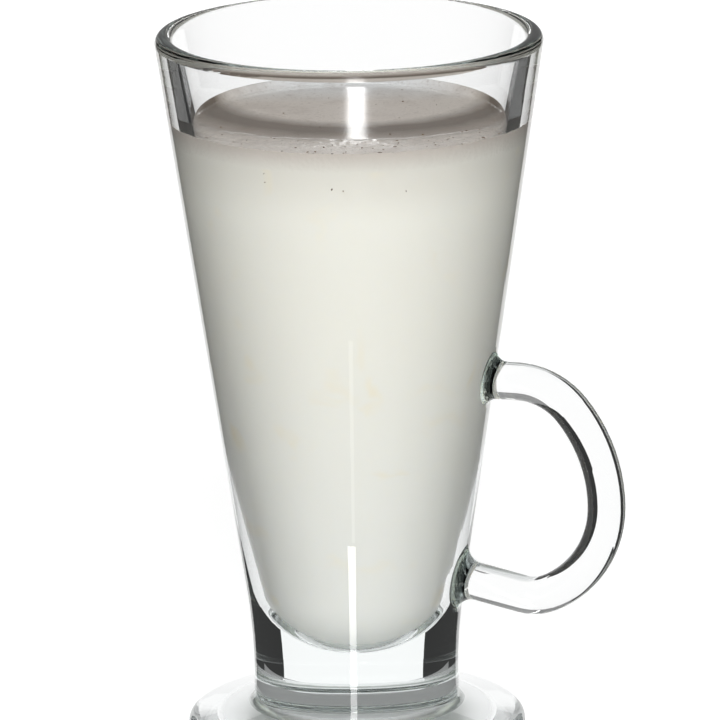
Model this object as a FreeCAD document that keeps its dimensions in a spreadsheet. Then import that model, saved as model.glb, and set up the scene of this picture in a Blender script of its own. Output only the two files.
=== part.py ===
import FreeCAD, Part
import math
import os
import Sketcher
from FreeCAD import Vector

# A footed glass mug of eggnog. Millimetres, +Z up. The origin is the middle of
# the foot's underside, and the handle points along +X.

# name, value, what it is
sizes = [
    ("mug_height", 149.4, "top of the lip above the table"),
    ("rim_radius", 40.25, "outside of the cone at the full height"),
    ("lip_wall", 3.8, "wall of the bowl, measured level at the full height"),
    ("waist_level", 30.0, "where the cone passes into the upright stem"),
    ("waist_radius", 22.6, "outside of the cone at the waist"),
    ("waist_wall", 9.0, "wall of the bowl, measured level at the waist"),
    ("bowl_floor", 19.8, "lowest point of the hollow"),
    ("heel_level", 13.5, "where the upright stem starts to widen"),
    ("neck_round", 1.6, "hollow blend of the stem into the foot"),
    ("foot_radius", 35.3, "foot at its widest"),
    ("foot_edge", 4.4, "corner of the foot's edge above the table"),
    ("foot_top", 7.2, "height of the foot's sloping top at the stem"),
    ("foot_under_round", 2.0, "lower edge of the foot"),
    ("foot_over_round", 2.6, "upper edge of the foot"),
    ("ring_radius", 28.5, "inside of the ring that the foot stands on"),
    ("recess_depth", 2.6, "hollow under the foot, at its middle"),
    ("rod_radius", 3.95, "round rod of the handle"),
    ("upper_arm_level", 77.6, "centre of the upper arm"),
    ("grip_level", 51.9, "where the handle stands out farthest"),
    ("lower_arm_level", 31.9, "lowest point of the rod's centre line"),
    ("grip_stand_off", 24.7, "rod's centre from the wall at the upper arm"),
    ("shoulder_bend", 14.9, "bend after the upper arm"),
    ("upper_grip_bend", 31.8, "bend above the farthest point"),
    ("lower_grip_bend", 21.1, "bend below the farthest point"),
    ("heel_bend", 9.3, "bend before the lower arm"),
    ("lower_arm_rise", 11.6, "degrees that the lower arm rises to the wall"),
    ("arm_root", 3.2, "end of each arm inside the wall"),
    ("upper_joint_round", 2.6, "blend of the upper arm into the wall"),
    ("lower_joint_round", 3.4, "blend of the lower arm into the wall"),
    ("fill_below_lip", 18.6, "flat top of the froth below the top of the lip"),
    ("froth_depth", 2.2, "froth that lies on the drink"),
    ("froth_climb", 1.4, "height that the froth climbs the wall"),
    ("froth_climb_reach", 2.4, "width of that climb"),
]

# ends of a sketch's curve, and the number of a sketch's own origin
first, last, centre = 1, 2, 3
origin = -1

froth_top = "Sizes.mug_height - Sizes.fill_below_lip"
froth_bottom = f"{froth_top} - Sizes.froth_depth"
inner_waist = "Sizes.waist_radius - Sizes.waist_wall"
inner_rim = "Sizes.rim_radius - Sizes.lip_wall"
cone_slope = "(Sizes.rim_radius - Sizes.waist_radius) / (Sizes.mug_height - Sizes.waist_level)"
stem_radius = (
    "Sizes.waist_radius - (Sizes.waist_level - Sizes.heel_level)"
    f" * tan(atan({cone_slope}) / 2)"
)


def make_sheet(doc):
    sheet = doc.addObject("Spreadsheet::Sheet", "Sizes")
    for row, (name, value, meaning) in enumerate(sizes, start=1):
        sheet.set(f"A{row}", meaning)
        sheet.set(f"B{row}", str(value))
        sheet.setAlias(f"B{row}", name)
    doc.recompute()
    return sheet


def wall_at(level):
    """Expression for the outside of the cone at a level that the sheet names."""
    return f"Sizes.waist_radius + (Sizes.{level} - Sizes.waist_level) * {cone_slope}"


def cone_radius(sheet, level):
    slope = (sheet.rim_radius - sheet.waist_radius) / (sheet.mug_height - sheet.waist_level)
    return sheet.waist_radius + (level - sheet.waist_level) * slope


def stem_at(sheet):
    """Radius of the upright stem that the cone's lower end curves into."""
    rise = sheet.mug_height - sheet.waist_level
    turn = math.atan((sheet.rim_radius - sheet.waist_radius) / rise)
    return sheet.waist_radius - (sheet.waist_level - sheet.heel_level) * math.tan(turn / 2)


def hollow_radius(sheet, level):
    share = (level - sheet.waist_level) / (sheet.mug_height - sheet.waist_level)
    wall = sheet.waist_wall + share * (sheet.lip_wall - sheet.waist_wall)
    return cone_radius(sheet, level) - wall


def add_sketch(body, name, role):
    planes = body.Origin.OriginFeatures
    sketch = body.newObject("Sketcher::SketchObject", name)
    sketch.AttachmentSupport = [(next(p for p in planes if p.Role == role), "")]
    sketch.MapMode = "FlatFace"
    return sketch


def add_line(sketch, begin, finish):
    line = Part.LineSegment(Vector(*begin, 0), Vector(*finish, 0))
    return sketch.addGeometry(line, False)


def add_arc(sketch, middle, radius, begin, finish):
    """Counter-clockwise arc between two angles in degrees."""
    circle = Part.Circle(Vector(*middle, 0), Vector(0, 0, 1), radius)
    arc = Part.ArcOfCircle(circle, math.radians(begin), math.radians(finish))
    return sketch.addGeometry(arc, False)


def hold(sketch, kind, *where):
    return sketch.addConstraint(Sketcher.Constraint(kind, *where))


def bind(sketch, name, expression, kind, *where):
    """Add a dimension and tie it to the sheet."""
    sketch.renameConstraint(hold(sketch, kind, *where), name)
    sketch.setExpression(f"Constraints.{name}", expression)


def place(sketch, name, across, up, curve, point, guess=(10.0, 10.0)):
    """Tie a point of a curve to its distances from the axis and from the table."""
    bind(sketch, f"{name}_across", across, "DistanceX", origin, first, curve, point, guess[0])
    bind(sketch, f"{name}_up", up, "DistanceY", origin, first, curve, point, guess[1])


def add_outline(sketch, corners, curved):
    """Closed outline; each corner is (name, across, up), and sides are straight.

    The side that leaves the corner named curved is an arc, tangent to the next side.
    """
    count = len(corners)
    ring = [(5 + 20 * math.cos(k * math.tau / count), 30 + 20 * math.sin(k * math.tau / count))
            for k in range(count)]
    names = [name for name, across, up in corners]
    sides = [k for k in range(count) if names[k] != curved]
    lines = {k: add_line(sketch, ring[k], ring[(k + 1) % count]) for k in sides}
    for k, (name, across, up) in enumerate(corners):
        before = (k - 1) % count
        if k in lines:
            place(sketch, name, across, up, lines[k], first)
        else:
            place(sketch, name, across, up, lines[before], last)
        if k in lines and before in lines:
            hold(sketch, "Coincident", lines[before], last, lines[k], first)
    sketch.Document.recompute()
    bend = names.index(curved)
    add_tangent_arc(sketch, lines[(bend - 1) % count], lines[(bend + 1) % count])


def add_tangent_arc(sketch, before, after):
    """Arc from the end of one line to the start of the next, tangent to the next."""
    begin = sketch.getPoint(before, last)
    finish = sketch.getPoint(after, first)
    along = (sketch.getPoint(after, last) - finish).normalize()
    outward = Vector(along.y, -along.x, 0)
    chord = begin - finish
    radius = chord.Length**2 / (2 * chord.dot(outward))
    middle = finish + outward * radius
    turns = [math.degrees(math.atan2(p.y - middle.y, p.x - middle.x)) % 360 for p in (finish, begin)]
    arc = add_arc(sketch, (middle.x, middle.y), radius, *turns)
    hold(sketch, "Coincident", arc, last, before, last)
    hold(sketch, "Tangent", arc, first, after, first)


def hold_inner_cone(sketch, sheet, line):
    """Make a line, or its extension, follow the bowl's inner wall."""
    for name, across, level in (("waist", inner_waist, "waist_level"),
                                ("rim", inner_rim, "mug_height")):
        up = getattr(sheet, level)
        guess = (hollow_radius(sheet, up), up)
        point = sketch.addGeometry(Part.Point(Vector(*guess, 0)), True)
        place(sketch, name, across, f"Sizes.{level}", point, first, guess)
        hold(sketch, "PointOnObject", point, first, line)


def add_cup(body, sheet, name, top):
    """Half section of the hollow with its round floor, filled up to a level."""
    sketch = add_sketch(body, name, "YZ_Plane")
    floor = sheet.bowl_floor
    rounding = hollow_radius(sheet, sheet.waist_level)
    high = sheet.mug_height
    low = floor + rounding
    wall = add_line(sketch, (hollow_radius(sheet, high), high), (hollow_radius(sheet, low), low))
    cup = add_arc(sketch, (0, low), rounding, 270, 350)
    axis = add_line(sketch, (0, floor), (0, high))
    lid = add_line(sketch, (0, high), (hollow_radius(sheet, high), high))
    hold(sketch, "Tangent", wall, last, cup, last)
    hold(sketch, "Coincident", cup, first, axis, first)
    hold(sketch, "Coincident", axis, last, lid, first)
    hold(sketch, "Coincident", lid, last, wall, first)
    hold(sketch, "Vertical", axis)
    hold(sketch, "Horizontal", lid)
    hold(sketch, "PointOnObject", cup, centre, -2)
    hold_inner_cone(sketch, sheet, wall)
    place(sketch, "floor", "0", "Sizes.bowl_floor", axis, first, (0.0, floor))
    bind(sketch, "top", top, "DistanceY", origin, first, axis, last, high)
    return sketch


def turn(body, kind, name, sketch):
    """Revolve a half section about the glass's axis, to add or to cut."""
    feature = body.newObject(kind, name)
    feature.Profile = sketch
    feature.ReferenceAxis = (sketch, ["V_Axis"])
    feature.Angle = 360
    feature.Document.recompute()
    return feature


def round_edges(body, name, edges, radius):
    """Round some edges of the body's last feature; radius is an expression."""
    base = body.Tip
    feature = body.newObject("PartDesign::Fillet", name)
    feature.Base = (base, edges)
    feature.setExpression("Radius", radius)
    feature.Document.recompute()
    return feature


def is_turned(edge):
    """True for a circle round the glass's own axis."""
    if edge.Degenerated or not isinstance(edge.Curve, Part.Circle):
        return False
    return math.hypot(edge.Curve.Center.x, edge.Curve.Center.y) < 0.01


def circles_at(shape, radius, level):
    """Names of the circular edges round the axis at a radius and a level."""
    found = []
    for number, edge in enumerate(shape.Edges, start=1):
        if is_turned(edge):
            off = math.hypot(edge.Curve.Radius - radius, edge.Curve.Center.z - level)
            if off < 0.05:
                found.append(f"Edge{number}")
    return found


def joint_edges(shape, across, level, reach):
    """Names of the edges where an arm of the handle meets the wall."""
    found = []
    for number, edge in enumerate(shape.Edges, start=1):
        off = (edge.BoundBox.Center - Vector(across, 0, level)).Length
        if off < reach and not edge.Degenerated and isinstance(edge.Curve, Part.BSplineCurve):
            found.append(f"Edge{number}")
    return found


def add_blank(body):
    """Foot, stem and cone as one solid turning."""
    sketch = add_sketch(body, "OuterSection", "YZ_Plane")
    add_outline(sketch, [
        ("underside", "0", "0"),
        ("foot_corner", "Sizes.foot_radius", "0"),
        ("foot_edge", "Sizes.foot_radius", "Sizes.foot_edge"),
        ("neck", stem_radius, "Sizes.foot_top"),
        ("heel", stem_radius, "Sizes.heel_level"),
        ("waist", "Sizes.waist_radius", "Sizes.waist_level"),
        ("rim", "Sizes.rim_radius", "Sizes.mug_height"),
        ("middle", "0", "Sizes.mug_height"),
    ], curved="heel")
    turn(body, "PartDesign::Revolution", "Blank", sketch)


def cut_recess(body, sheet):
    """Shallow dish under the foot, leaving the ring that it stands on."""
    sketch = add_sketch(body, "RecessSection", "YZ_Plane")
    edge, depth = sheet.ring_radius, sheet.recess_depth
    radius = (edge**2 + depth**2) / (2 * depth)
    half = math.degrees(math.asin(edge / radius))
    dome = add_arc(sketch, (0, depth - radius), radius, 90 - half, 90)
    axis = add_line(sketch, (0, depth), (0, 0))
    base = add_line(sketch, (0, 0), (edge, 0))
    hold(sketch, "Coincident", dome, last, axis, first)
    hold(sketch, "Coincident", axis, last, base, first)
    hold(sketch, "Coincident", base, last, dome, first)
    hold(sketch, "Coincident", axis, last, origin, first)
    hold(sketch, "Horizontal", base)
    hold(sketch, "PointOnObject", dome, centre, -2)
    bind(sketch, "edge", "Sizes.ring_radius", "DistanceX", origin, first, base, last, edge)
    place(sketch, "depth", "0", "Sizes.recess_depth", axis, first, (0.0, depth))
    turn(body, "PartDesign::Groove", "Recess", sketch)


def round_turned_edges(body, sheet):
    lip_inside = sheet.rim_radius - sheet.lip_wall
    for name, radius, level, rounding in (
        ("FootOver", sheet.foot_radius, sheet.foot_edge, "Sizes.foot_over_round"),
        ("FootUnder", sheet.foot_radius, 0, "Sizes.foot_under_round"),
        ("Neck", stem_at(sheet), sheet.foot_top, "Sizes.neck_round"),
        ("LipOutside", sheet.rim_radius, sheet.mug_height, "Sizes.lip_wall * 0.47"),
        ("LipInside", lip_inside, sheet.mug_height, "Sizes.lip_wall * 0.47"),
    ):
        round_edges(body, name, circles_at(body.Tip.Shape, radius, level), rounding)


def tangent_bends(sheet):
    """Middles and join angles of the four bends of the handle's centre line."""
    out = cone_radius(sheet, sheet.upper_arm_level) + sheet.grip_stand_off
    grip = sheet.grip_level
    bends = []
    for inner, outer, level in (
        (sheet.shoulder_bend, sheet.upper_grip_bend, sheet.upper_arm_level - sheet.shoulder_bend),
        (sheet.heel_bend, sheet.lower_grip_bend, sheet.lower_arm_level + sheet.heel_bend),
    ):
        across = math.sqrt((outer - inner)**2 - (level - grip)**2)
        angle = math.degrees(math.atan2(level - grip, across))
        bends.append(((out - outer + across, level), (out - outer, grip), angle))
    return bends


def draw_handle_line(body, sheet):
    """Centre line of the handle: two straight arms and four tangent bends."""
    sketch = add_sketch(body, "HandleLine", "XZ_Plane")
    (shoulder, upper, upper_turn), (heel, lower, lower_turn) = tangent_bends(sheet)
    rise = math.radians(sheet.lower_arm_rise)
    arm_start = cone_radius(sheet, sheet.upper_arm_level) - sheet.arm_root
    foot = (heel[0] - sheet.heel_bend * math.sin(rise), heel[1] - sheet.heel_bend * math.cos(rise))
    arm_end = cone_radius(sheet, sheet.lower_arm_level) - sheet.arm_root
    length = foot[0] - arm_end
    top = sheet.upper_arm_level
    arm = add_line(sketch, (arm_start, top), (shoulder[0], top))
    bend_1 = add_arc(sketch, shoulder, sheet.shoulder_bend, upper_turn, 90)
    bend_2 = add_arc(sketch, upper, sheet.upper_grip_bend, 0, upper_turn)
    bend_3 = add_arc(sketch, lower, sheet.lower_grip_bend, lower_turn, 0)
    bend_4 = add_arc(sketch, heel, sheet.heel_bend, -90 - sheet.lower_arm_rise, lower_turn)
    low = add_line(sketch, foot, (arm_end, foot[1] + length * math.tan(rise)))
    hold(sketch, "Tangent", arm, last, bend_1, last)
    hold(sketch, "Tangent", bend_1, first, bend_2, last)
    hold(sketch, "Tangent", bend_2, first, bend_3, last)
    hold(sketch, "Tangent", bend_3, first, bend_4, last)
    hold(sketch, "Tangent", bend_4, first, low, first)
    hold(sketch, "Horizontal", arm)
    root = f"{wall_at('upper_arm_level')} - Sizes.arm_root"
    place(sketch, "arm", root, "Sizes.upper_arm_level", arm, first, (arm_start, top))
    for name, bend in (("shoulder_bend", bend_1), ("upper_grip_bend", bend_2),
                       ("lower_grip_bend", bend_3), ("heel_bend", bend_4)):
        bind(sketch, name, f"Sizes.{name}", "Radius", bend, getattr(sheet, name))
    reach = f"{wall_at('upper_arm_level')} + Sizes.grip_stand_off"
    place(sketch, "grip", reach, "Sizes.grip_level", bend_2, first,
          (upper[0] + sheet.upper_grip_bend, sheet.grip_level))
    bind(sketch, "upper_grip_middle", "Sizes.grip_level", "DistanceY",
         origin, first, bend_2, centre, sheet.grip_level)
    bind(sketch, "heel_middle", "Sizes.lower_arm_level + Sizes.heel_bend", "DistanceY",
         origin, first, bend_4, centre, heel[1])
    bind(sketch, "rise", "180 - Sizes.lower_arm_rise", "Angle",
         origin, first, low, first, math.radians(180 - sheet.lower_arm_rise))
    bind(sketch, "low_end", f"{wall_at('lower_arm_level')} - Sizes.arm_root", "DistanceX",
         origin, first, low, last, arm_end)
    return sketch


def draw_rod_section(body, sheet):
    """Round section at the upper arm's root, square to the arm."""
    sketch = add_sketch(body, "RodSection", "YZ_Plane")
    root = f"{wall_at('upper_arm_level')} - Sizes.arm_root"
    sketch.setExpression("AttachmentOffset.Base.z", root)
    middle = Vector(0, sheet.upper_arm_level, 0)
    rod = sketch.addGeometry(Part.Circle(middle, Vector(0, 0, 1), sheet.rod_radius), False)
    bind(sketch, "rod", "Sizes.rod_radius", "Radius", rod, sheet.rod_radius)
    place(sketch, "root", "0", "Sizes.upper_arm_level", rod, centre, (0.0, middle.y))
    return sketch


def add_handle(body, sheet):
    line = draw_handle_line(body, sheet)
    section = draw_rod_section(body, sheet)
    body.Document.recompute()
    pipe = body.newObject("PartDesign::AdditivePipe", "Handle")
    pipe.Profile = section
    pipe.Spine = (line, [])
    body.Document.recompute()
    low_end = line.Geometry[-1].EndPoint
    for name, level, rounding in (
        ("UpperJoint", sheet.upper_arm_level, "Sizes.upper_joint_round"),
        ("LowerJoint", low_end.y, "Sizes.lower_joint_round"),
    ):
        wall = cone_radius(sheet, level)
        edges = joint_edges(body.Tip.Shape, wall, level, sheet.rod_radius * 1.5)
        round_edges(body, name, edges, rounding)


def make_glass(doc, sheet):
    body = doc.addObject("PartDesign::Body", "GlassMug")
    body.Label = "glass_mug"
    add_blank(body)
    hollow = add_cup(body, sheet, "HollowSection", "Sizes.mug_height")
    turn(body, "PartDesign::Groove", "Hollow", hollow)
    cut_recess(body, sheet)
    round_turned_edges(body, sheet)
    add_handle(body, sheet)
    return body


def make_drink(doc, sheet):
    body = doc.addObject("PartDesign::Body", "Eggnog")
    body.Label = "eggnog"
    section = add_cup(body, sheet, "DrinkSection", froth_bottom)
    turn(body, "PartDesign::Revolution", "Drink", section)
    return body


def make_froth(doc, sheet):
    """Froth from wall to wall, climbing the glass a little at its edge."""
    body = doc.addObject("PartDesign::Body", "Froth")
    body.Label = "spiced_froth"
    sketch = add_sketch(body, "FrothSection", "YZ_Plane")
    top = sheet.mug_height - sheet.fill_below_lip
    bottom = top - sheet.froth_depth
    edge = hollow_radius(sheet, top)
    climb = sheet.froth_climb
    reach = sheet.froth_climb_reach
    hollow_round = (reach**2 + climb**2) / (2 * climb)
    turned = math.degrees(math.asin(reach / hollow_round))
    middle = (edge - reach, top + hollow_round)
    wall_end = (hollow_radius(sheet, bottom), bottom)
    wall = add_line(sketch, (edge, top + climb), wall_end)
    base = add_line(sketch, wall_end, (0, bottom))
    axis = add_line(sketch, (0, bottom), (0, top))
    lid = add_line(sketch, (0, top), (edge - reach, top))
    rise = add_arc(sketch, middle, hollow_round, 270, 270 + turned)
    hold(sketch, "Coincident", wall, last, base, first)
    hold(sketch, "Coincident", base, last, axis, first)
    hold(sketch, "Coincident", axis, last, lid, first)
    hold(sketch, "Tangent", lid, last, rise, first)
    hold(sketch, "Coincident", rise, last, wall, first)
    hold(sketch, "Horizontal", base)
    hold(sketch, "Horizontal", lid)
    hold_inner_cone(sketch, sheet, wall)
    place(sketch, "bottom", "0", froth_bottom, axis, first, (0.0, bottom))
    place(sketch, "top", "0", froth_top, axis, last, (0.0, top))
    bind(sketch, "climb", "Sizes.froth_climb", "DistanceY", lid, last, wall, first, climb)
    bind(sketch, "climb_reach", "Sizes.froth_climb_reach", "DistanceX", lid, last, wall, first, reach)
    turn(body, "PartDesign::Revolution", "Froth", sketch)
    return body


def check(doc, parts):
    """Stop if any object failed to build or any piece is empty, broken or split."""
    for thing in doc.Objects:
        if {"Invalid", "Error"} & set(thing.State):
            raise RuntimeError(f"{thing.Name} did not build: {thing.State}")
    for part in parts:
        shape = part.Shape
        if shape.isNull() or not shape.isValid() or len(shape.Solids) != 1:
            raise RuntimeError(f"{part.Label} is not one sound solid")


def main():
    doc = FreeCAD.newDocument("Eggnog")
    sheet = make_sheet(doc)
    parts = [make_glass(doc, sheet), make_drink(doc, sheet), make_froth(doc, sheet)]
    doc.recompute()
    check(doc, parts)
    os.makedirs("parts", exist_ok=True)
    for part in parts:
        part.Placement = FreeCAD.Placement()
        part.Shape.exportStep(f"parts/{part.Label}.step")
        box = part.Shape.BoundBox
        print(part.Label, "volume", round(part.Shape.Volume), "mm3,",
              f"{box.XLength:.1f} x {box.YLength:.1f} x {box.ZLength:.1f} mm")


main()
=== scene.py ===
import bpy
import math
import random
from mathutils import Matrix, Vector, noise


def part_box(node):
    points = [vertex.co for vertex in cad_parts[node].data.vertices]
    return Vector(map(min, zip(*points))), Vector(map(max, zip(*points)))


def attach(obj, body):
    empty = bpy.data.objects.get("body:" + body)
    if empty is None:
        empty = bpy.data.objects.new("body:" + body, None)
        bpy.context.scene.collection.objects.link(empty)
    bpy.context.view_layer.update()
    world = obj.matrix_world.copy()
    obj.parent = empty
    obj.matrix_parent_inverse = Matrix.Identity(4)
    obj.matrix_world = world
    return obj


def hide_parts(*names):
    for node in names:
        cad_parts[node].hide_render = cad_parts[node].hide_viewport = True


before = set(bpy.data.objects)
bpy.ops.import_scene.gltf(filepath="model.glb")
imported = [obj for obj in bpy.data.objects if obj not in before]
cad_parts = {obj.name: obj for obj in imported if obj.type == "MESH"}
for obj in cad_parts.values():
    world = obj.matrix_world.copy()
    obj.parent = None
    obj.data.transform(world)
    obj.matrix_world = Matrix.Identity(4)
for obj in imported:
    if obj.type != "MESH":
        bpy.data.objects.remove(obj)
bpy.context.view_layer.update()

mm = 0.001
hair = 0.01 * mm         # a point this near to a height counts as lying on it
smoothBelow = 50         # degrees: where two faces meet at less than this, the edge is shaded smooth
print("frame loaded:", ", ".join(sorted(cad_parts)))


def hexColour(text):
    # sRGB hex to linear RGBA
    values = [int(text[i:i + 2], 16) / 255 for i in (1, 3, 5)]
    return tuple(v / 12.92 if v <= 0.04045 else ((v + 0.055) / 1.055) ** 2.4 for v in values) + (1.0,)


def addNode(tree, kind, inputs=None, stops=None, **settings):
    # one node with its settings, its inputs (a value or the socket that feeds it) and a ramp's stops
    node = tree.nodes.new(kind)
    for name, value in settings.items():
        setattr(node, name, value)
    for name, value in (inputs or {}).items():
        if isinstance(value, bpy.types.NodeSocket):
            tree.links.new(value, node.inputs[name])
        else:
            node.inputs[name].default_value = value
    if stops:
        elements = node.color_ramp.elements
        while len(elements) < len(stops):
            elements.new(0.5)
        for element, (place, colour) in zip(elements, stops):
            element.position = place
            element.color = hexColour(colour) if isinstance(colour, str) else (colour, colour, colour, 1.0)
    return node


def newMaterial(name):
    material = bpy.data.materials.new(name)
    material.use_nodes = True
    material.node_tree.nodes.clear()
    return material, material.node_tree


def giveMaterial(piece, material):
    piece.data.materials.clear()
    piece.data.materials.append(material)


def deselectAll():
    if bpy.context.mode != "OBJECT":
        bpy.ops.object.mode_set(mode="OBJECT")
    bpy.ops.object.select_all(action="DESELECT")


def selectEdges(test):
    # in edit mode, selects the edges whose two ends both pass the test
    bpy.ops.object.mode_set(mode="OBJECT")
    mesh = bpy.context.object.data
    for face in mesh.polygons:
        face.select = False
    for vertex in mesh.vertices:
        vertex.select = test(vertex.co)
    for edge in mesh.edges:
        edge.select = all(mesh.vertices[i].select for i in edge.vertices)
    bpy.ops.object.mode_set(mode="EDIT")


def drawRing(rise, factor):
    # extrudes the selected ring of edges, lifts it and scales it about the axis
    bpy.ops.mesh.extrude_region_move(TRANSFORM_OT_translate={"value": (0, 0, rise)})
    bpy.ops.transform.resize(value=(factor, factor, 1), center_override=(0, 0, 0))


def closeUp(piece):
    # last steps of a turned piece: doubles merged, faces outward, its place in its mesh, smooth
    bpy.ops.mesh.select_all(action="SELECT")
    bpy.ops.mesh.remove_doubles(threshold=hair)
    bpy.ops.mesh.normals_make_consistent(inside=False)
    bpy.ops.object.mode_set(mode="OBJECT")
    bpy.ops.object.transform_apply(location=True, rotation=True, scale=True)
    bpy.ops.object.shade_smooth_by_angle(angle=math.radians(smoothBelow))


camera = {
    "turn": 17.0,        # degrees round from the front towards the handle
    "away": 1.5,         # metres from the mug's axis
    "height": 0.4639,    # metres above the floor
    "dip": 14.36,        # degrees that it looks down
    "yaw": -0.057,       # degrees off the mug's axis
    "roll": -0.678,
    "lens": 373.3,       # mm, on a sensor 36 mm wide
}

turn = math.radians(camera["turn"])
towardsViewer = Vector((math.sin(turn), -math.cos(turn), 0))
toRight = Vector((math.cos(turn), math.sin(turn), 0))
behind = -towardsViewer

lens = bpy.data.cameras.new("viewCamera")
lens.lens = camera["lens"]
lens.sensor_width = 36
lens.clip_end = 100
viewCamera = bpy.data.objects.new("viewCamera", lens)
bpy.context.scene.collection.objects.link(viewCamera)
viewCamera.matrix_world = (
    Matrix.Translation(towardsViewer * camera["away"] + Vector((0, 0, camera["height"])))
    @ Matrix.Rotation(turn + math.radians(camera["yaw"]), 4, "Z")
    @ Matrix.Rotation(math.radians(90 - camera["dip"]), 4, "X")
    @ Matrix.Rotation(math.radians(camera["roll"]), 4, "Z")
)
bpy.context.scene.camera = viewCamera
print("camera set")


# the bowl's inside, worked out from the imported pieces
inside = {
    "reach": 0.15 * mm,       # how far the contents reach into the wall
    "frothClimb": 1.4 * mm,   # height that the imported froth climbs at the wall
}

drinkLow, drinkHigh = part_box("eggnog")
bowlFloor = drinkLow.z
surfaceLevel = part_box("spiced_froth")[1].z - inside["frothClimb"]


def widestAt(node, lowest, highest):
    # height and radius of the node's widest point between two heights
    points = [v.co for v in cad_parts[node].data.vertices if lowest <= v.co.z <= highest]
    widest = max(points, key=lambda point: math.hypot(point.x, point.y))
    return widest.z, math.hypot(widest.x, widest.y)


# the bowl's inner wall is a cone: two of its rings give how much it widens per unit of height
upperLevel, upperRadius = widestAt("eggnog", drinkHigh.z - 0.1 * mm, drinkHigh.z + 0.1 * mm)
lowerLevel, lowerRadius = widestAt("eggnog", bowlFloor, (bowlFloor + drinkHigh.z) / 2)
slope = (upperRadius - lowerRadius) / (upperLevel - lowerLevel)
lean = math.atan(slope)
print("inner wall widens by", round(slope, 4), "per unit of height")


def wallRadius(height, reach=inside["reach"]):
    # radius of the inner wall, and reach beyond it, square to the wall
    return upperRadius + slope * (height - upperLevel) + reach / math.cos(lean)


# radius of the bowl's round floor, which meets the cone without a corner
bowlRound = math.cos(lean) * wallRadius(bowlFloor, 0) / (1 - math.sin(lean))

fill = {
    "around": 160,
    "ballRings": 96,               # rings of the whole ball that the round floor is cut from
    "stackHeight": 8 * mm,         # distance between rings up the side
    "top": 129.2 * mm,             # inside the froth
    "topRings": (0.9, 0.5, 0.02),  # rings in to the axis, each as a share of the one before
}


def makeFill():
    deselectAll()
    ballCentre = bowlFloor + bowlRound
    joinLevel = ballCentre - bowlRound * math.sin(lean)
    bpy.ops.mesh.primitive_uv_sphere_add(
        segments=fill["around"], ring_count=fill["ballRings"], radius=bowlRound + inside["reach"],
        location=(0, 0, 0))
    piece = bpy.context.object
    piece.name = "eggnogDrink"
    bpy.ops.object.mode_set(mode="EDIT")
    bpy.ops.mesh.select_all(action="SELECT")
    bpy.ops.transform.translate(value=(0, 0, ballCentre))
    bpy.ops.mesh.select_all(action="SELECT")
    # a fine threshold, or the cut would snap to the sphere's own ring
    bpy.ops.mesh.bisect(
        plane_co=(0, 0, joinLevel), plane_no=(0, 0, 1), clear_outer=True, threshold=0.1 * hair)
    selectEdges(lambda point: point.z > joinLevel - hair)
    level = joinLevel
    radius = wallRadius(joinLevel)
    steps = round((fill["top"] - joinLevel) / fill["stackHeight"])
    rise = (fill["top"] - joinLevel) / steps
    for step in range(steps):
        level += rise
        drawRing(rise, wallRadius(level) / radius)
        radius = wallRadius(level)
    for factor in fill["topRings"]:
        drawRing(0, factor)
    bpy.ops.mesh.merge(type="CENTER")
    closeUp(piece)
    return piece


eggnogDrink = makeFill()
print("drink made")


froth = {
    "around": 256,
    "rings": 60,             # from the wall in to the axis
    "crowding": 1.35,        # above 1, the rings lie closer together at the wall
    "wallRings": 4,
    "underRings": (0.5, 0.02),  # rings in under it, each as a share of the one before
    "under": 127.7 * mm,     # its lower edge, round the top of the drink
    "cover": 0.02 * mm,      # how much wider than the drink it is, so that it covers the drink's edge
    "climb": 1.0 * mm,       # how far it creeps up the wall
    "climbReach": 2.0 * mm,  # and over what width
    "sinkage": 0.25 * mm,    # the clear patch lies this much under the raft of froth
    "sinkWidth": 3 * mm,     # and comes back up over this width at the wall
    "patchBack": 27 * mm,    # centre of the clear patch, behind the axis
    "patchRight": 1 * mm,
    "patchRadius": 44 * mm,
    "shoreWidth": 2.4 * mm,  # width of the step between patch and raft
    "shoreWander": 1.2 * mm,
    "shoreCells": 260,       # cells of noise per metre
    "shadeRing": 7 * mm,     # the ring of painted shade lies this far inside the patch's edge
    "ripple": 0.12 * mm,     # height of the raft's lumps
    "lumpCells": 700,        # cells of noise per metre
    "fineCells": 1500,
    "fineShare": 0.6,
}


def patchDistance(point):
    # how far a point lies outside the clear patch of the surface, in metres; less than nothing inside it
    right = point.dot(toRight)
    back = point.dot(behind)
    return math.hypot(right - froth["patchRight"], back - froth["patchBack"]) - froth["patchRadius"]


def smoothStep(value):
    value = min(max(value, 0.0), 1.0)
    return value * value * (3 - 2 * value)


def frothHeight(point):
    # height of the froth's top over its flat level
    flat = Vector((point.x, point.y, 0))
    edge = wallRadius(surfaceLevel) - flat.length
    creep = froth["climb"] * max(0.0, 1 - edge / froth["climbReach"]) ** 2
    shore = patchDistance(flat) + froth["shoreWander"] * noise.noise(flat * froth["shoreCells"])
    raft = smoothStep(0.5 + shore / froth["shoreWidth"])
    sunk = (raft - 1) * froth["sinkage"] * smoothStep(edge / froth["sinkWidth"])
    lumps = noise.noise(flat * froth["lumpCells"])
    lumps += froth["fineShare"] * noise.noise(flat * froth["fineCells"])
    return creep + sunk + froth["ripple"] * raft * lumps


def frothRadius(height):
    return wallRadius(height, inside["reach"] + froth["cover"])


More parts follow.
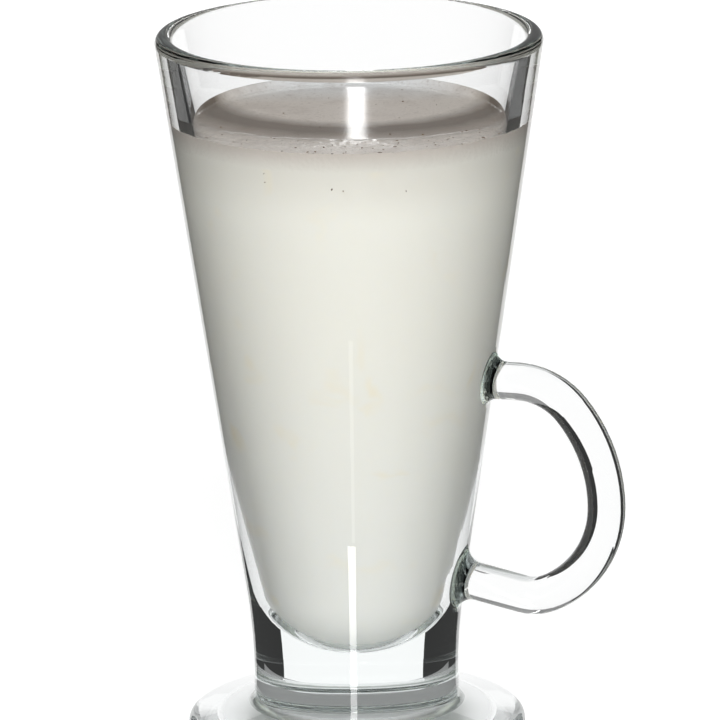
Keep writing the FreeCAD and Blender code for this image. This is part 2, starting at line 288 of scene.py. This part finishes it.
def makeFroth():
    deselectAll()
    level = froth["under"]
    radius = frothRadius(level)
    bpy.ops.mesh.primitive_circle_add(
        vertices=froth["around"], radius=radius, fill_type="NOTHING", location=(0, 0, 0))
    piece = bpy.context.object
    piece.name = "spicedFrothTop"
    bpy.ops.object.mode_set(mode="EDIT")
    bpy.ops.mesh.select_all(action="SELECT")
    bpy.ops.transform.translate(value=(0, 0, level))
    bpy.ops.mesh.select_all(action="SELECT")
    rise = (surfaceLevel - level) / froth["wallRings"]
    for step in range(froth["wallRings"]):  # up the wall
        level += rise
        drawRing(rise, frothRadius(level) / radius)
        radius = frothRadius(level)
    crown = radius
    for ring in range(1, froth["rings"]):  # in over the top
        target = crown * (1 - (ring / froth["rings"]) ** froth["crowding"])
        drawRing(0, target / radius)
        radius = target
    bpy.ops.mesh.merge(type="CENTER")
    selectEdges(lambda point: point.z < froth["under"] + hair)
    for factor in froth["underRings"]:
        drawRing(0, factor)
    bpy.ops.mesh.merge(type="CENTER")
    closeUp(piece)
    for vertex in piece.data.vertices:  # relief of the top
        if vertex.co.z > surfaceLevel - hair:
            vertex.co.z += frothHeight(vertex.co)
            outward = math.hypot(vertex.co.x, vertex.co.y)
            if outward > crown - hair:
                factor = frothRadius(vertex.co.z) / outward
                vertex.co.x *= factor
                vertex.co.y *= factor
    return piece


frothTop = makeFroth()
print("froth made")


flakes = {
    "onRaft": 170,
    "nearWall": 5,
    "seed": 11,
    "smallest": 0.14 * mm,    # half length
    "largest": 0.5 * mm,
    "fewLarge": 3,            # the higher, the fewer large flakes there are
    "fromWall": 0.8 * mm,     # none lies nearer to the wall
    "raftShare": 0.9,         # share of the flakes that stay where they fall on the raft,
    "shoreShare": 0.35,       # on its shore
    "patchShare": 0.05,       # and on the clear patch
    "raftFrom": 1.5 * mm,     # where raft and shore begin, from the patch's edge outwards
    "shoreFrom": -2 * mm,
    "wallSpread": 38,         # degrees to each side of the viewer's line
    "wallDepth": (3 * mm, 10 * mm),
    "wallHalf": (0.2 * mm, 0.38 * mm),
    "underside": -0.35,       # a flake is a ball cut flat here, in radii, and then squashed
    "squash": (1, 0.62, 0.34),
    "longways": (0.6, 1.1),   # how much a flake's length, width and height vary
    "sideways": (0.5, 1.0),
    "upwards": (0.4, 0.9),
}


def makeFlake():
    # one chip of grated nutmeg: a low faceted lump
    deselectAll()
    bpy.ops.mesh.primitive_ico_sphere_add(subdivisions=1, radius=1, location=(0, 0, 0))
    bpy.ops.object.mode_set(mode="EDIT")
    bpy.ops.mesh.select_all(action="SELECT")
    bpy.ops.mesh.bisect(
        plane_co=(0, 0, flakes["underside"]), plane_no=(0, 0, -1), use_fill=True, clear_outer=True)
    bpy.ops.mesh.select_all(action="SELECT")
    bpy.ops.transform.resize(value=flakes["squash"])
    bpy.ops.mesh.normals_make_consistent(inside=False)
    bpy.ops.object.mode_set(mode="OBJECT")
    bpy.ops.object.transform_apply(location=True, rotation=True, scale=True)
    return bpy.context.object


def makeFlakes():
    chance = random.Random(flakes["seed"])
    pattern = makeFlake()
    copies = []

    def layFlake(place, half, matrix):
        copy = pattern.copy()
        copy.data = pattern.data.copy()
        bpy.context.scene.collection.objects.link(copy)
        stretch = [half * chance.uniform(*flakes[way]) for way in ("longways", "sideways", "upwards")]
        copy.matrix_world = Matrix.Translation(place) @ matrix @ Matrix.Diagonal(stretch + [1])
        copies.append(copy)

    while len(copies) < flakes["onRaft"]:
        angle = chance.uniform(0, 2 * math.pi)
        radius = (wallRadius(surfaceLevel) - flakes["fromWall"]) * math.sqrt(chance.random())
        place = Vector((radius * math.cos(angle), radius * math.sin(angle), 0))
        distance = patchDistance(place)
        share = flakes["patchShare"]
        if distance > flakes["raftFrom"]:
            share = flakes["raftShare"]
        elif distance > flakes["shoreFrom"]:
            share = flakes["shoreShare"]
        if chance.random() > share:
            continue
        size = chance.random() ** flakes["fewLarge"]
        half = flakes["smallest"] + (flakes["largest"] - flakes["smallest"]) * size
        place.z = surfaceLevel + frothHeight(place)
        layFlake(place, half, Matrix.Rotation(chance.uniform(0, 2 * math.pi), 4, "Z"))
    for index in range(flakes["nearWall"]):  # a few chips sunk against the front wall
        around = chance.uniform(-flakes["wallSpread"], flakes["wallSpread"])
        level = surfaceLevel - chance.uniform(*flakes["wallDepth"])
        outward = Matrix.Rotation(math.radians(around), 3, "Z") @ towardsViewer
        place = outward * wallRadius(level)
        place.z = level
        half = chance.uniform(*flakes["wallHalf"])
        spin = Matrix.Rotation(chance.uniform(0, 2 * math.pi), 4, "Z")
        layFlake(place, half, outward.to_track_quat("Z", "Y").to_matrix().to_4x4() @ spin)
    bpy.data.objects.remove(pattern)
    deselectAll()
    for copy in copies:
        copy.select_set(True)
    bpy.context.view_layer.objects.active = copies[0]
    bpy.ops.object.join()
    bpy.ops.object.transform_apply(location=True, rotation=True, scale=True)
    piece = bpy.context.object
    piece.name = "nutmegFlakes"
    return piece


nutmegFlakes = makeFlakes()
print("nutmeg flakes made:", len(nutmegFlakes.data.polygons), "faces")


glassLook = {
    "tint": (0.72, 0.86, 0.84),
    "thickness": 5.0,         # how strongly the depth of the glass colours what is seen
    "waviness": 0.015 * mm,
    "waveSize": 14 * mm,
    "underside": 0.32,        # roughness of the dished underside, left as it came from the mould
    "dishTop": 2.9 * mm,      # the underside lies below this height
    "dishEdge": (27 * mm, 29 * mm),  # its roughness fades out between these radii
    "passing": (0.97, 0.985, 0.98),  # tint of the lamps' light after one face
}


def pressedGlass():
    # soda-lime glass pressed in a mould: clear, faintly green in its depth, with the slow waviness of
    # pressed walls
    material, tree = newMaterial("pressedGlass")
    where = addNode(tree, "ShaderNodeTexCoord").outputs["Object"]
    waves = addNode(tree, "ShaderNodeTexNoise", {
        "Vector": where, "Scale": 1 / glassLook["waveSize"], "Detail": 1.0, "Roughness": 0.4})
    bump = addNode(tree, "ShaderNodeBump", {
        "Height": waves.outputs[0], "Strength": 1.0, "Distance": glassLook["waviness"]})
    split = addNode(tree, "ShaderNodeSeparateXYZ", {0: where})
    low = addNode(tree, "ShaderNodeMath", {
        0: split.outputs["Z"], 1: glassLook["dishTop"]}, operation="LESS_THAN")
    flat = addNode(tree, "ShaderNodeCombineXYZ", {"X": split.outputs["X"], "Y": split.outputs["Y"]})
    out = addNode(tree, "ShaderNodeVectorMath", {0: flat.outputs[0]}, operation="LENGTH")
    dish = addNode(tree, "ShaderNodeMapRange", {
        "Value": out.outputs["Value"], "From Min": glassLook["dishEdge"][0],
        "From Max": glassLook["dishEdge"][1], "To Min": glassLook["underside"], "To Max": 0.0})
    rough = addNode(tree, "ShaderNodeMath", {0: dish.outputs[0], 1: low.outputs[0]}, operation="MULTIPLY")
    glass = addNode(tree, "ShaderNodeBsdfPrincipled", {
        "Base Color": (1, 1, 1, 1), "Roughness": rough.outputs[0], "IOR": 1.52,
        "Transmission Weight": 1.0, "Normal": bump.outputs[0]})
    # lamps and soft light pass straight through, a little tinted
    passing = addNode(tree, "ShaderNodeBsdfTransparent", {"Color": glassLook["passing"] + (1,)})
    path = addNode(tree, "ShaderNodeLightPath")
    either = addNode(tree, "ShaderNodeMath", {
        0: path.outputs["Is Shadow Ray"], 1: path.outputs["Is Diffuse Ray"]}, operation="MAXIMUM")
    mixed = addNode(tree, "ShaderNodeMixShader", {
        0: either.outputs[0], 1: glass.outputs[0], 2: passing.outputs[0]})
    depth = addNode(tree, "ShaderNodeVolumeAbsorption", {
        "Color": glassLook["tint"] + (1,), "Density": glassLook["thickness"]})
    addNode(tree, "ShaderNodeOutputMaterial", {"Surface": mixed.outputs[0], "Volume": depth.outputs[0]})
    return material


drinkLook = {
    "cream": "#F2EFE6",
    "creamLow": "#F0EFEB",       # nearer the bottom
    "lowFrom": 20 * mm,          # height where that colour begins to give way
    "lowTo": 90 * mm,
    "creamHigh": "#E4E0D7",      # just under the froth, with some spice in it
    "spicedDepth": 12 * mm,
    "yolk": "#F4E6C6",
    "streakSize": 11.76 * mm,    # of the yolk's streaks
    "yolkShare": 0.55,           # how yellow they are at most
}


def eggnogCream():
    # milk, cream and egg yolk beaten together: opaque, off-white, with faint yellow streaks of yolk
    material, tree = newMaterial("eggnogCream")
    where = addNode(tree, "ShaderNodeTexCoord").outputs["Object"]
    height = addNode(tree, "ShaderNodeSeparateXYZ", {0: where}).outputs["Z"]
    share = addNode(tree, "ShaderNodeMapRange", {
        "Value": height, "From Min": drinkLook["lowFrom"], "From Max": drinkLook["lowTo"]})
    cream = addNode(tree, "ShaderNodeMix", {
        0: share.outputs[0], 6: hexColour(drinkLook["creamLow"]), 7: hexColour(drinkLook["cream"])},
        data_type="RGBA")
    under = addNode(tree, "ShaderNodeMapRange", {
        "Value": height, "From Min": froth["under"] - drinkLook["spicedDepth"], "From Max": froth["under"]},
        interpolation_type="SMOOTHSTEP")
    cream = addNode(tree, "ShaderNodeMix", {
        0: under.outputs[0], 6: cream.outputs[2], 7: hexColour(drinkLook["creamHigh"])}, data_type="RGBA")
    streaks = addNode(tree, "ShaderNodeTexNoise", {
        "Vector": where, "Scale": 1 / drinkLook["streakSize"], "Detail": 3.0, "Roughness": 0.5,
        "Distortion": 0.6})
    yolk = addNode(tree, "ShaderNodeValToRGB", {0: streaks.outputs[0]}, stops=[
        (0.60, 0.0), (0.78, drinkLook["yolkShare"])])
    blended = addNode(tree, "ShaderNodeMix", {
        0: yolk.outputs[0], 6: cream.outputs[2], 7: hexColour(drinkLook["yolk"])}, data_type="RGBA")
    body = addNode(tree, "ShaderNodeBsdfPrincipled", {
        "Base Color": blended.outputs[2], "Roughness": 0.5, "IOR": 1.36, "Specular IOR Level": 0.0,
        "Subsurface Weight": 0.15, "Subsurface Radius": (1.0, 0.9, 0.7), "Subsurface Scale": 1.5 * mm})
    # where glass meets liquid, light that comes at a slant is mirrored: refractive index 1.34 over 1.52
    slant = addNode(tree, "ShaderNodeFresnel", {"IOR": 0.88})
    mirror = addNode(tree, "ShaderNodeBsdfAnisotropic", {"Color": (1, 1, 1, 1), "Roughness": 0.03})
    wet = addNode(tree, "ShaderNodeMixShader", {
        0: slant.outputs[0], 1: body.outputs[0], 2: mirror.outputs[0]})
    addNode(tree, "ShaderNodeOutputMaterial", {"Surface": wet.outputs[0]})
    return material


frothLook = {
    "sideHigh": "#C8BEB6",       # against the wall, where it ends at the top
    "sideLow": "#E4E0D7",        # and where it meets the drink
    "raft": "#F0E5DC",           # froth with nutmeg stirred in
    "raftPale": "#F6ECE4",
    "edge": "#85796E",           # painted shade: the dark ring along the clear patch, near the raft's edge
    "shade": "#C0B3A9",          # painted shade between that ring and the raft
    "clear": "#F1E6DC",          # the smooth surface inside it
    "back": "#FFFFFF",           # painted highlight: at its far side the surface is made paler, up to white, for the light it catches
    "backFrom": 15 * mm,         # how far behind the axis that begins, and is full
    "backTo": 30 * mm,
    "patches": "#9A7F70",        # soft patches where more spice lies
    "patchShare": 0.16,
    "patchSize": 6.667 * mm,
    "dust": "#8C7866",           # fine dust of nutmeg
    "dustShare": 0.30,
    "dustSize": 0.7143 * mm,
    "ragSize": 5.556 * mm,       # of the ring's ragged outline
    "rag": 3.0 * mm,             # how far it wanders from side to side
    "bandHalf": 20 * mm,         # half the width over which the ring's colours are laid
    "bubbleSize": 0.909 * mm,
    "bubbleDepth": 0.2 * mm,
    "wetRough": 0.10,
    "raftRough": 0.4,
}


def nutmegFroth():
    # beaten froth dusted with grated nutmeg: a dull speckled raft, and inside it a smooth wet patch with a
    # dark edge of painted shade, and a far side painted paler as light
    material, tree = newMaterial("nutmegFroth")
    where = addNode(tree, "ShaderNodeTexCoord").outputs["Object"]
    # turned so that the side that was towards the viewer faces -Y
    turned = addNode(tree, "ShaderNodeMapping", {
        "Vector": where, "Rotation": (0, 0, -turn)}, vector_type="POINT")
    wobble = addNode(tree, "ShaderNodeTexNoise", {
        "Vector": where, "Scale": 1 / frothLook["ragSize"], "Detail": 3.0, "Roughness": 0.55})
    split = addNode(tree, "ShaderNodeSeparateXYZ", {0: turned.outputs[0]})
    flat = addNode(tree, "ShaderNodeCombineXYZ", {"X": split.outputs["X"], "Y": split.outputs["Y"]})
    gap = addNode(tree, "ShaderNodeVectorMath", {
        0: flat.outputs[0], 1: (froth["patchRight"], froth["patchBack"], 0)}, operation="DISTANCE")
    ragged = addNode(tree, "ShaderNodeMath", {
        0: wobble.outputs[0], 1: frothLook["rag"], 2: gap.outputs["Value"]}, operation="MULTIPLY_ADD")
    # radius of the ring of painted shade, from the patch's centre
    ring = froth["patchRadius"] - froth["shadeRing"] + frothLook["rag"] / 2
    place = addNode(tree, "ShaderNodeMapRange", {
        "Value": ragged.outputs[0], "From Min": ring - frothLook["bandHalf"],
        "From Max": ring + frothLook["bandHalf"]})
    # each 0.1 of the ramp is 4 mm of the surface, from the clear patch out to the raft
    # painted shade: the edge and shade stops darken a ring of the surface near the raft's edge
    band = addNode(tree, "ShaderNodeValToRGB", {0: place.outputs[0]}, stops=[
        (0.28, frothLook["clear"]), (0.42, frothLook["edge"]), (0.51, frothLook["edge"]),
        (0.64, frothLook["shade"]), (0.75, frothLook["raft"]), (0.90, frothLook["raftPale"])])
    # painted highlight: towards the far side the surface's colour is blended to white
    back = addNode(tree, "ShaderNodeMapRange", {
        "Value": split.outputs["Y"], "From Min": frothLook["backFrom"], "From Max": frothLook["backTo"]})
    paintedFarLight = addNode(tree, "ShaderNodeMix", {
        0: back.outputs[0], 6: band.outputs[0], 7: hexColour(frothLook["back"])}, data_type="RGBA")
    patches = addNode(tree, "ShaderNodeTexNoise", {
        "Vector": where, "Scale": 1 / frothLook["patchSize"], "Detail": 3.0, "Roughness": 0.6})
    share = addNode(tree, "ShaderNodeValToRGB", {0: patches.outputs[0]}, stops=[
        (0.50, 0.0), (0.68, frothLook["patchShare"])])
    patchy = addNode(tree, "ShaderNodeMix", {
        0: share.outputs[0], 6: paintedFarLight.outputs[2], 7: hexColour(frothLook["patches"])}, data_type="RGBA")
    dust = addNode(tree, "ShaderNodeTexNoise", {
        "Vector": where, "Scale": 1 / frothLook["dustSize"], "Detail": 2.0, "Roughness": 0.6})
    dusted = addNode(tree, "ShaderNodeValToRGB", {0: dust.outputs[0]}, stops=[
        (0.56, 0.0), (0.72, frothLook["dustShare"])])
    spiced = addNode(tree, "ShaderNodeMix", {
        0: dusted.outputs[0], 6: patchy.outputs[2], 7: hexColour(frothLook["dust"])}, data_type="RGBA")
    # faces that don't look upwards are its side at the wall, which has colours of its own
    up = addNode(tree, "ShaderNodeMapRange", {
        "Value": split.outputs["Z"], "From Min": froth["under"], "From Max": surfaceLevel + froth["climb"]})
    side = addNode(tree, "ShaderNodeMix", {
        0: up.outputs[0], 6: hexColour(frothLook["sideLow"]), 7: hexColour(frothLook["sideHigh"])},
        data_type="RGBA")
    facing = addNode(tree, "ShaderNodeSeparateXYZ", {
        0: addNode(tree, "ShaderNodeNewGeometry").outputs["True Normal"]})
    onTop = addNode(tree, "ShaderNodeMath", {0: facing.outputs["Z"], 1: 0.3}, operation="GREATER_THAN")
    whole = addNode(tree, "ShaderNodeMix", {
        0: onTop.outputs[0], 6: side.outputs[2], 7: spiced.outputs[2]}, data_type="RGBA")
    rough = addNode(tree, "ShaderNodeMapRange", {
        "Value": place.outputs[0], "From Min": 0.7, "From Max": 0.95, "To Min": frothLook["wetRough"],
        "To Max": frothLook["raftRough"]})
    bubbles = addNode(tree, "ShaderNodeTexVoronoi", {"Vector": where, "Scale": 1 / frothLook["bubbleSize"]})
    raftShare = addNode(tree, "ShaderNodeMapRange", {
        "Value": place.outputs[0], "From Min": 0.66, "From Max": 0.8})
    pits = addNode(tree, "ShaderNodeMath", {
        0: bubbles.outputs["Distance"], 1: raftShare.outputs[0]}, operation="MULTIPLY")
    bump = addNode(tree, "ShaderNodeBump", {
        "Height": pits.outputs[0], "Strength": 0.35, "Distance": frothLook["bubbleDepth"]})
    body = addNode(tree, "ShaderNodeBsdfPrincipled", {
        "Base Color": whole.outputs[2], "Roughness": rough.outputs[0], "IOR": 1.36,
        "Normal": bump.outputs[0]})
    addNode(tree, "ShaderNodeOutputMaterial", {"Surface": body.outputs[0]})
    return material


nutmegLook = {
    "dark": "#5E4A3B",
    "light": "#9C826B",
    "mottleSize": 1.111 * mm,
}


def gratedNutmeg():
    # grated nutmeg: dull dark brown chips, no two quite alike
    material, tree = newMaterial("gratedNutmeg")
    where = addNode(tree, "ShaderNodeTexCoord").outputs["Object"]
    mottle = addNode(tree, "ShaderNodeTexNoise", {
        "Vector": where, "Scale": 1 / nutmegLook["mottleSize"], "Detail": 2.0})
    brown = addNode(tree, "ShaderNodeValToRGB", {0: mottle.outputs[0]}, stops=[
        (0.35, nutmegLook["dark"]), (0.65, nutmegLook["light"])])
    body = addNode(tree, "ShaderNodeBsdfPrincipled", {"Base Color": brown.outputs[0], "Roughness": 0.75})
    addNode(tree, "ShaderNodeOutputMaterial", {"Surface": body.outputs[0]})
    return material


giveMaterial(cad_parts["glass_mug"], pressedGlass())
giveMaterial(eggnogDrink, eggnogCream())
giveMaterial(frothTop, nutmegFroth())
giveMaterial(nutmegFlakes, gratedNutmeg())
print("materials given")

for piece, slot in (
        (eggnogDrink, "eggnog_cream"), (frothTop, "spiced_froth"), (nutmegFlakes, "spiced_froth")):
    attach(piece, "root")
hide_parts("eggnog")
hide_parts("spiced_froth")


studio = {
    "floorSize": 12,
    "floorGrey": 0.85,
    "floorLift": 0.6,        # extra glow of the floor as the camera sees it
    "lampAway": 1.2,         # metres from the point that the lamps aim at
    "lampSize": 0.6,
    "lampAim": 0.08,         # height of that point
    "keyTurn": 1.0,          # degrees round from the viewer's line
    "keyRise": 26.0,
    "keyPower": 11.6,
    "backTurn": 180.0,
    "backRise": 35.0,
    "backPower": 5.0,
}


def onlySeenBy(piece, kinds):
    for kind in ("camera", "diffuse", "glossy", "transmission", "volume_scatter", "shadow"):
        setattr(piece, "visible_" + kind, kind in kinds)


def makeFloor():
    deselectAll()
    bpy.ops.mesh.primitive_plane_add(size=studio["floorSize"], location=(0, 0, 0))
    floor = bpy.context.object
    floor.name = "studioFloor"
    material, tree = newMaterial("paleFloor")
    matte = addNode(tree, "ShaderNodeBsdfDiffuse", {"Color": (studio["floorGrey"],) * 3 + (1,)})
    path = addNode(tree, "ShaderNodeLightPath")
    lift = addNode(tree, "ShaderNodeMath", {
        0: path.outputs["Is Camera Ray"], 1: studio["floorLift"]}, operation="MULTIPLY")
    glow = addNode(tree, "ShaderNodeEmission", {"Strength": lift.outputs[0]})
    both = addNode(tree, "ShaderNodeAddShader", {0: matte.outputs[0], 1: glow.outputs[0]})
    addNode(tree, "ShaderNodeOutputMaterial", {"Surface": both.outputs[0]})
    giveMaterial(floor, material)
    onlySeenBy(floor, ("camera", "diffuse", "shadow"))


def addLamp(name, around, rise, power):
    lamp = bpy.data.lights.new(name, "AREA")
    lamp.shape = "SQUARE"
    lamp.size = studio["lampSize"]
    lamp.energy = power
    holder = bpy.data.objects.new(name, lamp)
    bpy.context.scene.collection.objects.link(holder)
    outward = Matrix.Rotation(math.radians(around), 3, "Z") @ towardsViewer
    upward = Vector((0, 0, math.sin(math.radians(rise))))
    aim = Vector((0, 0, studio["lampAim"]))
    holder.location = aim + (outward * math.cos(math.radians(rise)) + upward) * studio["lampAway"]
    holder.rotation_euler = (aim - holder.location).to_track_quat("-Z", "Y").to_euler()
    onlySeenBy(holder, ("diffuse", "shadow"))


underlay = {
    "around": 96,
    "radius": 0.04,
    "drop": 0.2 * mm,        # how far below the floor it lies
    "shadeRadius": 0.05,     # the shades below run from the axis to this radius
    "dark": "#B0B5B1",       # painted shadow below the stem
    "paintedShadowEnd": "#B4B8B5",
    "pale": "#F0F2F2",
    "white": "#FFFFFF",
}


def makeUnderlay():
    # what the glass foot shows of the floor under it, as a glowing disc: painted shadow below the stem, pale
    # further out
    deselectAll()
    bpy.ops.mesh.primitive_circle_add(
        vertices=underlay["around"], radius=underlay["radius"], fill_type="NGON", location=(0, 0, 0))
    piece = bpy.context.object
    piece.name = "paintedShadowUnderFoot"
    piece.data.transform(Matrix.Translation((0, 0, -underlay["drop"])))
    material, tree = newMaterial("paintedShadowUnderFoot")
    where = addNode(tree, "ShaderNodeTexCoord").outputs["Object"]
    far = addNode(tree, "ShaderNodeVectorMath", {0: where}, operation="LENGTH")
    place = addNode(tree, "ShaderNodeMapRange", {
        "Value": far.outputs["Value"], "From Min": 0.0, "From Max": underlay["shadeRadius"]})
    shade = addNode(tree, "ShaderNodeValToRGB", {0: place.outputs[0]}, stops=[
        (0.0, underlay["dark"]), (0.44, underlay["paintedShadowEnd"]), (0.52, underlay["pale"]),
        (1.0, underlay["white"])])
    glow = addNode(tree, "ShaderNodeEmission", {"Color": shade.outputs[0], "Strength": 1.0})
    addNode(tree, "ShaderNodeOutputMaterial", {"Surface": glow.outputs[0]})
    giveMaterial(piece, material)
    onlySeenBy(piece, ("transmission",))


surround = {
    "ambient": 0.06,         # what lights matte things from all sides
    "cloth": 0.025,          # dark cloths left and right of the white panel
    "clothEnd": 62,          # degrees round from straight behind, where they end
    "paleFrom": 88,
    "pale": 0.85,
    "palest": 0.9,           # towards the viewer
    "upFrom": 0.55,          # straight up and straight down it is pale again
    "upTo": 0.8,
    "upShare": 0.8,
    "mirroredBack": 0.03,    # what polished faces mirror: almost nothing, so that the panels stand out
    "mirroredFront": 0.05,
    "mirroredFrom": 100,
}


def makeWorld():
    world = bpy.data.worlds.new("studioWorld")
    bpy.context.scene.world = world
    world.use_nodes = True
    tree = world.node_tree
    tree.nodes.clear()
    where = addNode(tree, "ShaderNodeTexCoord").outputs["Generated"]
    turned = addNode(tree, "ShaderNodeVectorRotate", {
        "Vector": where, "Angle": -turn}, rotation_type="Z_AXIS")
    split = addNode(tree, "ShaderNodeSeparateXYZ", {0: turned.outputs[0]})
    around = addNode(tree, "ShaderNodeMath", {
        0: split.outputs["X"], 1: split.outputs["Y"]}, operation="ARCTAN2")
    aside = addNode(tree, "ShaderNodeMath", {0: around.outputs[0]}, operation="ABSOLUTE")
    share = addNode(tree, "ShaderNodeMath", {0: aside.outputs[0], 1: math.pi}, operation="DIVIDE")
    cloths = addNode(tree, "ShaderNodeValToRGB", {0: share.outputs[0]}, stops=[
        (0.0, surround["cloth"]), (surround["clothEnd"] / 180, surround["cloth"]),
        (surround["paleFrom"] / 180, surround["pale"]), (1.0, surround["palest"])])
    upright = addNode(tree, "ShaderNodeMath", {0: split.outputs["Z"]}, operation="ABSOLUTE")
    ends = addNode(tree, "ShaderNodeMapRange", {
        "Value": upright.outputs[0], "From Min": surround["upFrom"], "From Max": surround["upTo"],
        "To Max": surround["upShare"]})
    seenThrough = addNode(tree, "ShaderNodeMix", {
        0: ends.outputs[0], 6: cloths.outputs[0], 7: (1, 1, 1, 1)}, data_type="RGBA")
    mirrored = addNode(tree, "ShaderNodeValToRGB", {0: share.outputs[0]}, stops=[
        (0.0, surround["mirroredBack"]), (surround["mirroredFrom"] / 180, surround["mirroredFront"]),
        (1.0, surround["mirroredFront"])])
    path = addNode(tree, "ShaderNodeLightPath")
    clear = addNode(tree, "ShaderNodeMix", {
        0: path.outputs["Is Glossy Ray"], 6: seenThrough.outputs[2], 7: mirrored.outputs[0]},
        data_type="RGBA")
    soft = addNode(tree, "ShaderNodeMix", {
        0: path.outputs["Is Diffuse Ray"], 6: clear.outputs[2], 7: (surround["ambient"],) * 3 + (1,)},
        data_type="RGBA")
    shown = addNode(tree, "ShaderNodeMix", {
        0: path.outputs["Is Camera Ray"], 6: soft.outputs[2], 7: (1, 1, 1, 1)}, data_type="RGBA")
    sky = addNode(tree, "ShaderNodeBackground", {"Color": shown.outputs[2], "Strength": 1.0})
    addNode(tree, "ShaderNodeOutputWorld", {"Surface": sky.outputs[0]})


def addPanel(name, width, height, back, right, level, strength, kinds):
    # an upright glowing panel, square to the viewer: its middle lies back, right and level from the origin
    deselectAll()
    bpy.ops.mesh.primitive_plane_add(size=1, location=(0, 0, 0))
    piece = bpy.context.object
    piece.name = name
    upright = Matrix.Rotation(turn, 4, "Z") @ Matrix.Rotation(math.radians(90), 4, "X")
    middle = behind * back + toRight * right + Vector((0, 0, level))
    piece.data.transform(Matrix.Translation(middle) @ upright @ Matrix.Diagonal((width, height, 1, 1)))
    material, tree = newMaterial(name + "Glow")
    glow = addNode(tree, "ShaderNodeEmission", {"Color": (1, 1, 1, 1), "Strength": strength})
    addNode(tree, "ShaderNodeOutputMaterial", {"Surface": glow.outputs[0]})
    giveMaterial(piece, material)
    onlySeenBy(piece, kinds)


# panels behind the mug, seen through its glass and mirrored in the drink: white, with grey above
backdrop = {
    "back": 0.25,            # metres behind the mug
    "left": 0.138,           # how far the white reaches to each side
    "right": 0.146,
    "lowLeft": 0.1345,       # and how far its lower part does
    "lowRight": 0.159,
    "bottom": -0.36,
    "split": 0.01,           # height where the lower part ends
    "top": 0.14,             # grey above this height
    "greyTop": 0.54,
    "white": 1.08,
    "grey": 0.3,
}


def addBackdrop(name, left, right, lowest, highest, strength):
    addPanel(
        name, width=left + right, height=highest - lowest, back=backdrop["back"], right=(right - left) / 2,
        level=(lowest + highest) / 2, strength=strength, kinds=("glossy", "transmission"))


makeFloor()
makeUnderlay()
makeWorld()
addBackdrop(
    "whitePanel", backdrop["left"], backdrop["right"], backdrop["split"], backdrop["top"],
    backdrop["white"])
addBackdrop(
    "whitePanelLow", backdrop["lowLeft"], backdrop["lowRight"], backdrop["bottom"], backdrop["split"],
    backdrop["white"])
addBackdrop(
    "greyPanel", backdrop["left"], backdrop["right"], backdrop["top"], backdrop["greyTop"],
    backdrop["grey"])

# painted shade: a dim glowing card low behind the foot, seen through it, for the floor there in the foot's
# shade
paintedShadeCard = {"width": 0.044, "height": 0.0045, "back": 0.0375, "right": 0, "level": 0.00125, "strength": 0.3}
addPanel("paintedShadeCard", kinds=("transmission",), **paintedShadeCard)

# strips of light: one behind, mirrored in the drink's surface, and two in front, mirrored in the cone
brightStrip = {"width": 0.0066, "height": 0.25, "back": 0.248, "right": 0.0024, "level": 0.285, "strength": 5}
lowStrip = {"width": 0.0077, "height": 0.1, "back": -0.07, "right": -0.0035, "level": -0.032, "strength": 8}
faintStrip = {"width": 0.003, "height": 0.05, "back": -0.07, "right": -0.0015, "level": 0.044, "strength": 1.2}
addPanel("brightStrip", kinds=("glossy", "transmission"), **brightStrip)
addPanel("lowStrip", kinds=("glossy",), **lowStrip)
addPanel("faintStrip", kinds=("glossy",), **faintStrip)

addLamp("keyLamp", studio["keyTurn"], studio["keyRise"], studio["keyPower"])
addLamp("backLamp", studio["backTurn"], studio["backRise"], studio["backPower"])

# light crosses many faces of the glass, and too few bounces would leave black spots at its joints
bpy.context.scene.cycles.max_bounces = 24
bpy.context.scene.cycles.glossy_bounces = 16
bpy.context.scene.cycles.transmission_bounces = 24
bpy.context.scene.view_settings.view_transform = "Standard"
print("studio set")
